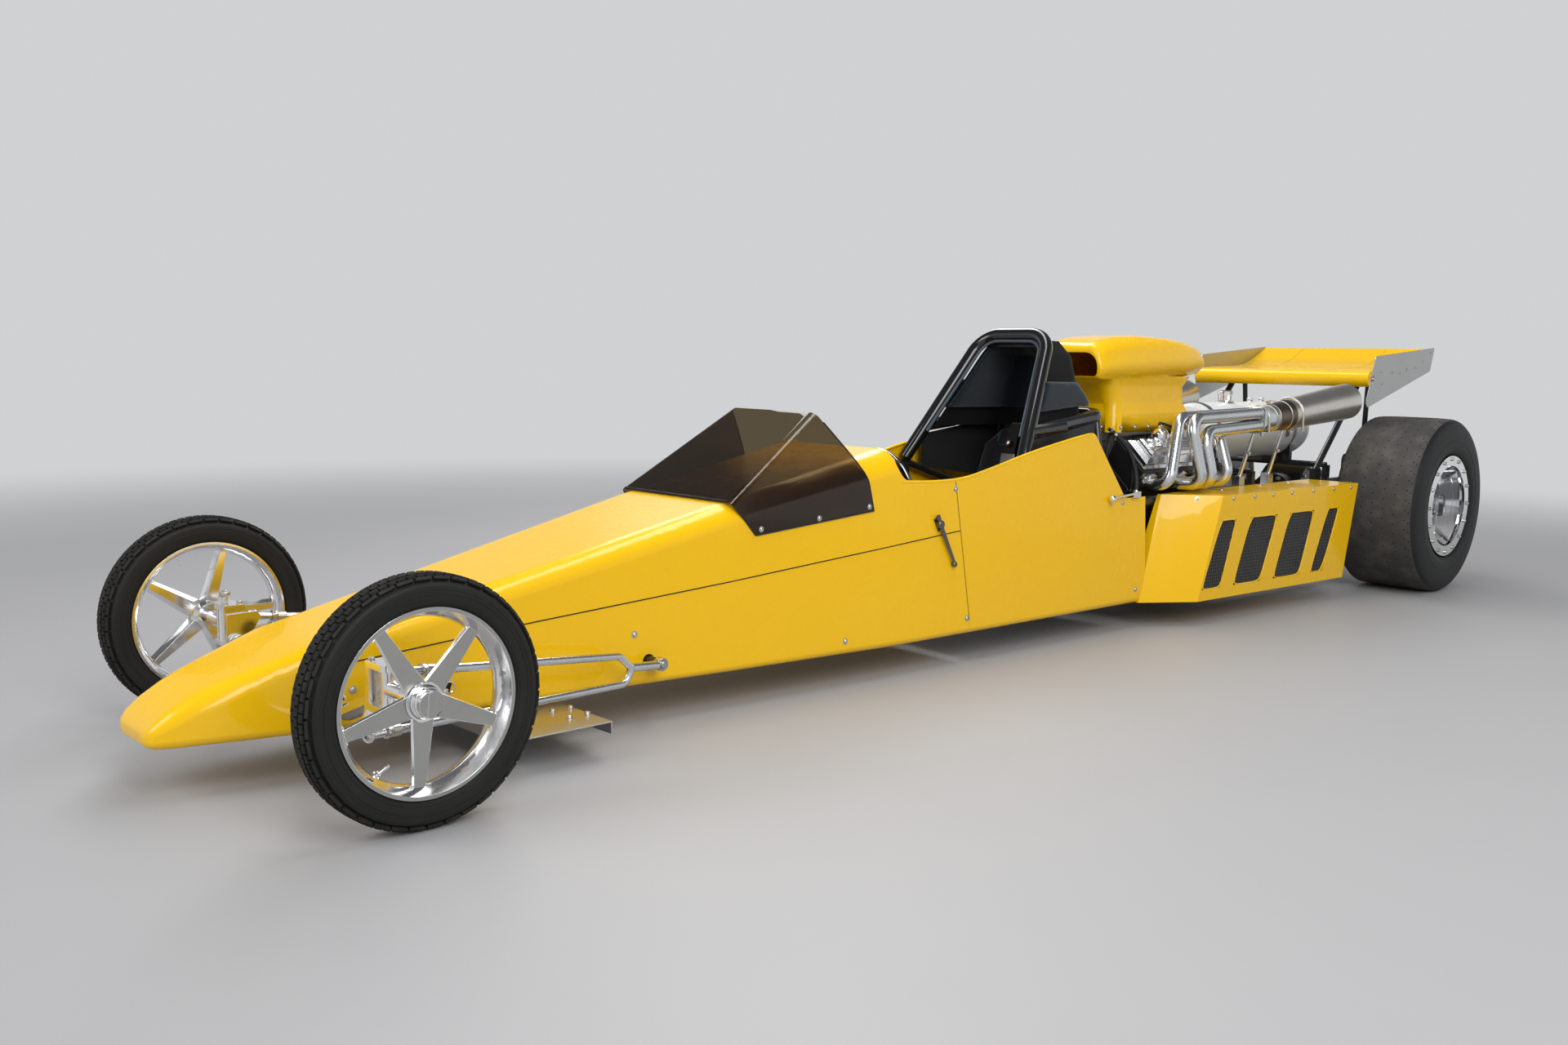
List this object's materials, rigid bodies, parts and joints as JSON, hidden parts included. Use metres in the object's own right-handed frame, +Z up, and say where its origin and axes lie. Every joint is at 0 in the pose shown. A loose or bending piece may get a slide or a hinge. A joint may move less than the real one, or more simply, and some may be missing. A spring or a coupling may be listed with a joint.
{
  "type": "drag racing car",
  "caption": "Rear-engined single-seat drag racing car with a long wedge body, roll cage, open engine with air scoop, side exhausts, rear wing, narrow front wheels and wide rear slicks.",
  "frame": {"origin": "on the floor under the middle of the car's length and width", "axes": "+X forward, +Y to the driver's left, +Z up"},
  "size_m": [5.46, 1.4, 1.042],
  "materials": {
    "yellow_paint": "high gloss",
    "frame_black": "gloss",
    "cage_black": "high gloss",
    "smoke_screen": "smoke tint, polished",
    "black_fabric": "speckled woven",
    "panel_black": "satin",
    "mesh_black": "satin wire",
    "floor_aluminium": "brushed",
    "polished_aluminium": "polished",
    "engine_black": "satin paint",
    "cast_aluminium": "cast",
    "header_steel": "polished",
    "silencer_steel": "brushed, heat tinted",
    "tank_white": "gloss",
    "chrome_rim": "mirror",
    "tyre": "matt rubber",
    "slick": "scuffed matt rubber",
    "wing_plate_aluminium": "satin"
  },
  "bodies": {
    "chassis": {"frame_rails": "frame_black", "roll_cage": "cage_black", "nose_deck": "yellow_paint", "lower_body": "yellow_paint", "side_panel_left": "yellow_paint", "side_panel_right": "yellow_paint", "pod_mesh": "mesh_black", "windscreen": "smoke_screen", "cage_shroud": "cage_black", "cage_padding": "black_fabric", "cockpit_liner": "panel_black", "seat": "black_fabric", "floor_pan": "floor_aluminium", "front_plate": "floor_aluminium", "front_axle": "polished_aluminium", "radius_rods": "header_steel", "steering_column": "frame_black", "engine_block": "engine_black", "motor_plates": "floor_aluminium", "valve_covers": "polished_aluminium", "intake_manifold": "cast_aluminium", "scoop": "yellow_paint", "headers": "header_steel", "silencers": "silencer_steel", "silencer_hangers": "header_steel", "gearbox": "cast_aluminium", "rear_axle_housing": "frame_black", "tank": "tank_white", "tank_mounts": "frame_black", "wing": "yellow_paint", "wing_end_plates": "wing_plate_aluminium", "wing_struts": "frame_black", "gear_lever": "polished_aluminium"},
    "knuckle_left": {"knuckle_left": "polished_aluminium"},
    "knuckle_right": {"knuckle_right": "polished_aluminium"},
    "tie_rod": {"tie_rod": "header_steel"},
    "steering_wheel": {"steering_wheel": "polished_aluminium"},
    "front_wheel_left": {"front_wheel_left": "polished_aluminium", "front_tyre_left": "tyre"},
    "front_wheel_right": {"front_wheel_right": "polished_aluminium", "front_tyre_right": "tyre"},
    "rear_axle": {"rear_axle": "polished_aluminium", "rear_wheel_left": "chrome_rim", "rear_wheel_right": "chrome_rim", "rear_tyre_left": "slick", "rear_tyre_right": "slick"}
  },
  "joints": [
    {"name": "steer_left", "type": "hinge", "parent": "chassis", "child": "knuckle_left", "pos_m": [2.37, 0.43, 0.252], "axis": [0, 0, 1], "range_deg": [-15, 15]},
    {"name": "steer_right", "type": "hinge", "parent": "chassis", "child": "knuckle_right", "pos_m": [2.37, -0.43, 0.252], "axis": [0, 0, 1], "range_deg": [-15, 15]},
    {"name": "tie_rod_pivot", "type": "hinge", "parent": "knuckle_left", "child": "tie_rod", "pos_m": [2.26, 0.43, 0.203], "axis": [0, 0, 1], "range_deg": [-15, 15]},
    {"name": "steering_wheel_turn", "type": "hinge", "parent": "chassis", "child": "steering_wheel", "pos_m": [0.475, 0, 0.52], "axis": [-0.9703, 0, 0.2419], "range_deg": [-120, 120]},
    {"name": "front_wheel_left_spin", "type": "hinge", "parent": "knuckle_left", "child": "front_wheel_left", "pos_m": [2.37, 0.556, 0.252], "axis": [0, 1, 0], "continuous": true},
    {"name": "front_wheel_right_spin", "type": "hinge", "parent": "knuckle_right", "child": "front_wheel_right", "pos_m": [2.37, -0.556, 0.252], "axis": [0, 1, 0], "continuous": true},
    {"name": "rear_axle_spin", "type": "hinge", "parent": "chassis", "child": "rear_axle", "pos_m": [-2.27, 0, 0.364], "axis": [0, 1, 0], "continuous": true}
  ],
  "couplings": [
    {"joint": "steer_right", "follows": "steer_left", "ratio": 1},
    {"joint": "tie_rod_pivot", "follows": "steer_left", "ratio": -1},
    {"joint": "steering_wheel_turn", "follows": "steer_left", "ratio": 8}
  ]
}
